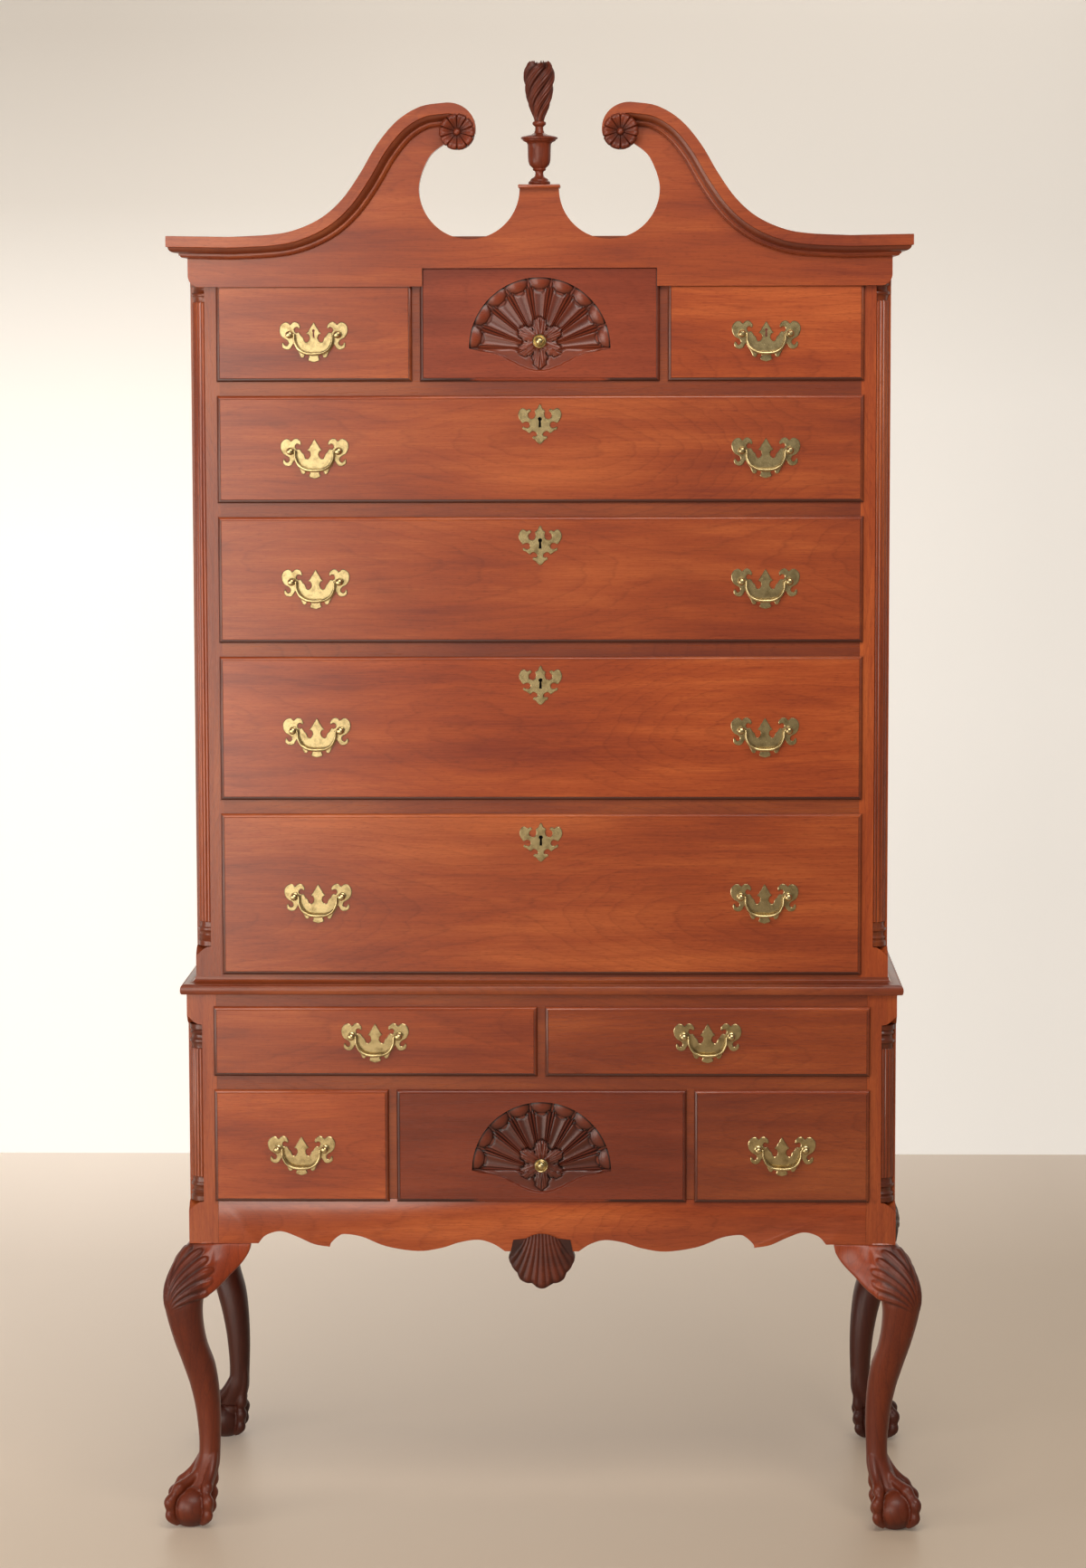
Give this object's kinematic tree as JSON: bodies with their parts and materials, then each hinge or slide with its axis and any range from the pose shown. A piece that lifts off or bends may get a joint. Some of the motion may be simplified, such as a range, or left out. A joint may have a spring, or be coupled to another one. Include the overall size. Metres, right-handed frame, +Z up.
{
  "type": "highboy",
  "caption": "Tall chest of drawers on a stand with cabriole legs, ball-and-claw feet, a scrolled pediment with rosettes and a flame finial, carved shells and brass bail pulls.",
  "frame": {"origin": "on the floor, under the middle of the case", "axes": "+X to the right of a person facing the drawers, +Y to the back, +Z up"},
  "size_m": [1.1084, 0.5844, 2.1341],
  "materials": {
    "walnut": "reddish-brown walnut, satin rubbed finish",
    "carved_walnut": "darker stained walnut, satin rubbed finish",
    "poplar": "bare planed secondary wood",
    "brass": "polished brass, slightly aged"
  },
  "bodies": {
    "case": {"upper_carcass": "walnut", "upper_back": "poplar", "pediment_board": "walnut", "scroll_moulding_left": "walnut", "scroll_moulding_right": "walnut", "finial": "carved_walnut", "waist_moulding": "walnut", "lower_carcass": "walnut", "lower_back": "poplar", "apron": "walnut", "leg_front_left": "carved_walnut", "leg_front_right": "carved_walnut", "leg_back_left": "carved_walnut", "leg_back_right": "carved_walnut"},
    "drawer_top_left": {"drawer_top_left": "walnut", "plate_top_left": "brass"},
    "drawer_top_centre": {"drawer_top_centre": "walnut", "knob_top_centre": "brass"},
    "drawer_top_right": {"drawer_top_right": "walnut", "plate_top_right": "brass"},
    "drawer_long_4": {"drawer_long_4": "walnut", "plate_long_4_left": "brass", "plate_long_4_right": "brass", "escutcheon_long_4": "brass"},
    "drawer_long_3": {"drawer_long_3": "walnut", "plate_long_3_left": "brass", "plate_long_3_right": "brass", "escutcheon_long_3": "brass"},
    "drawer_long_2": {"drawer_long_2": "walnut", "plate_long_2_left": "brass", "plate_long_2_right": "brass", "escutcheon_long_2": "brass"},
    "drawer_long_1": {"drawer_long_1": "walnut", "plate_long_1_left": "brass", "plate_long_1_right": "brass", "escutcheon_long_1": "brass"},
    "drawer_lower_left": {"drawer_lower_left": "walnut", "plate_lower_left": "brass"},
    "drawer_lower_right": {"drawer_lower_right": "walnut", "plate_lower_right": "brass"},
    "drawer_base_left": {"drawer_base_left": "walnut", "plate_base_left": "brass"},
    "drawer_base_centre": {"drawer_base_centre": "walnut", "knob_base_centre": "brass"},
    "drawer_base_right": {"drawer_base_right": "walnut", "plate_base_right": "brass"},
    "bail_top_left": {"bail_top_left": "brass"},
    "bail_top_right": {"bail_top_right": "brass"},
    "bail_long_4_left": {"bail_long_4_left": "brass"},
    "bail_long_4_right": {"bail_long_4_right": "brass"},
    "bail_long_3_left": {"bail_long_3_left": "brass"},
    "bail_long_3_right": {"bail_long_3_right": "brass"},
    "bail_long_2_left": {"bail_long_2_left": "brass"},
    "bail_long_2_right": {"bail_long_2_right": "brass"},
    "bail_long_1_left": {"bail_long_1_left": "brass"},
    "bail_long_1_right": {"bail_long_1_right": "brass"},
    "bail_lower_left": {"bail_lower_left": "brass"},
    "bail_lower_right": {"bail_lower_right": "brass"},
    "bail_base_left": {"bail_base_left": "brass"},
    "bail_base_right": {"bail_base_right": "brass"}
  },
  "joints": [
    {"name": "drawer_top_left_slide", "type": "slide", "parent": "case", "child": "drawer_top_left", "axis": [0, -1, 0], "range_m": [0, 0.34]},
    {"name": "drawer_top_centre_slide", "type": "slide", "parent": "case", "child": "drawer_top_centre", "axis": [0, -1, 0], "range_m": [0, 0.34]},
    {"name": "drawer_top_right_slide", "type": "slide", "parent": "case", "child": "drawer_top_right", "axis": [0, -1, 0], "range_m": [0, 0.34]},
    {"name": "drawer_long_4_slide", "type": "slide", "parent": "case", "child": "drawer_long_4", "axis": [0, -1, 0], "range_m": [0, 0.34]},
    {"name": "drawer_long_3_slide", "type": "slide", "parent": "case", "child": "drawer_long_3", "axis": [0, -1, 0], "range_m": [0, 0.34]},
    {"name": "drawer_long_2_slide", "type": "slide", "parent": "case", "child": "drawer_long_2", "axis": [0, -1, 0], "range_m": [0, 0.34]},
    {"name": "drawer_long_1_slide", "type": "slide", "parent": "case", "child": "drawer_long_1", "axis": [0, -1, 0], "range_m": [0, 0.34]},
    {"name": "drawer_lower_left_slide", "type": "slide", "parent": "case", "child": "drawer_lower_left", "axis": [0, -1, 0], "range_m": [0, 0.34]},
    {"name": "drawer_lower_right_slide", "type": "slide", "parent": "case", "child": "drawer_lower_right", "axis": [0, -1, 0], "range_m": [0, 0.34]},
    {"name": "drawer_base_left_slide", "type": "slide", "parent": "case", "child": "drawer_base_left", "axis": [0, -1, 0], "range_m": [0, 0.34]},
    {"name": "drawer_base_centre_slide", "type": "slide", "parent": "case", "child": "drawer_base_centre", "axis": [0, -1, 0], "range_m": [0, 0.34]},
    {"name": "drawer_base_right_slide", "type": "slide", "parent": "case", "child": "drawer_base_right", "axis": [0, -1, 0], "range_m": [0, 0.34]},
    {"name": "bail_top_left_swing", "type": "hinge", "parent": "drawer_top_left", "child": "bail_top_left", "pos_m": [-0.32425, -0.261, 1.74705], "axis": [-1, 0, 0], "range_deg": [0, 100]},
    {"name": "bail_top_right_swing", "type": "hinge", "parent": "drawer_top_right", "child": "bail_top_right", "pos_m": [0.32425, -0.261, 1.74705], "axis": [-1, 0, 0], "range_deg": [0, 100]},
    {"name": "bail_long_4_left_swing", "type": "hinge", "parent": "drawer_long_4", "child": "bail_long_4_left", "pos_m": [-0.32425, -0.261, 0.9348], "axis": [-1, 0, 0], "range_deg": [0, 100]},
    {"name": "bail_long_4_right_swing", "type": "hinge", "parent": "drawer_long_4", "child": "bail_long_4_right", "pos_m": [0.32425, -0.261, 0.9348], "axis": [-1, 0, 0], "range_deg": [0, 100]},
    {"name": "bail_long_3_left_swing", "type": "hinge", "parent": "drawer_long_3", "child": "bail_long_3_left", "pos_m": [-0.32425, -0.261, 1.17705], "axis": [-1, 0, 0], "range_deg": [0, 100]},
    {"name": "bail_long_3_right_swing", "type": "hinge", "parent": "drawer_long_3", "child": "bail_long_3_right", "pos_m": [0.32425, -0.261, 1.17705], "axis": [-1, 0, 0], "range_deg": [0, 100]},
    {"name": "bail_long_2_left_swing", "type": "hinge", "parent": "drawer_long_2", "child": "bail_long_2_left", "pos_m": [-0.32425, -0.261, 1.3923], "axis": [-1, 0, 0], "range_deg": [0, 100]},
    {"name": "bail_long_2_right_swing", "type": "hinge", "parent": "drawer_long_2", "child": "bail_long_2_right", "pos_m": [0.32425, -0.261, 1.3923], "axis": [-1, 0, 0], "range_deg": [0, 100]},
    {"name": "bail_long_1_left_swing", "type": "hinge", "parent": "drawer_long_1", "child": "bail_long_1_left", "pos_m": [-0.32425, -0.261, 1.5803], "axis": [-1, 0, 0], "range_deg": [0, 100]},
    {"name": "bail_long_1_right_swing", "type": "hinge", "parent": "drawer_long_1", "child": "bail_long_1_right", "pos_m": [0.32425, -0.261, 1.5803], "axis": [-1, 0, 0], "range_deg": [0, 100]},
    {"name": "bail_lower_left_swing", "type": "hinge", "parent": "drawer_lower_left", "child": "bail_lower_left", "pos_m": [-0.24188, -0.274, 0.73175], "axis": [-1, 0, 0], "range_deg": [0, 100]},
    {"name": "bail_lower_right_swing", "type": "hinge", "parent": "drawer_lower_right", "child": "bail_lower_right", "pos_m": [0.24188, -0.274, 0.73175], "axis": [-1, 0, 0], "range_deg": [0, 100]},
    {"name": "bail_base_left_swing", "type": "hinge", "parent": "drawer_base_left", "child": "bail_base_left", "pos_m": [-0.3504, -0.274, 0.565], "axis": [-1, 0, 0], "range_deg": [0, 100]},
    {"name": "bail_base_right_swing", "type": "hinge", "parent": "drawer_base_right", "child": "bail_base_right", "pos_m": [0.3504, -0.274, 0.565], "axis": [-1, 0, 0], "range_deg": [0, 100]}
  ]
}
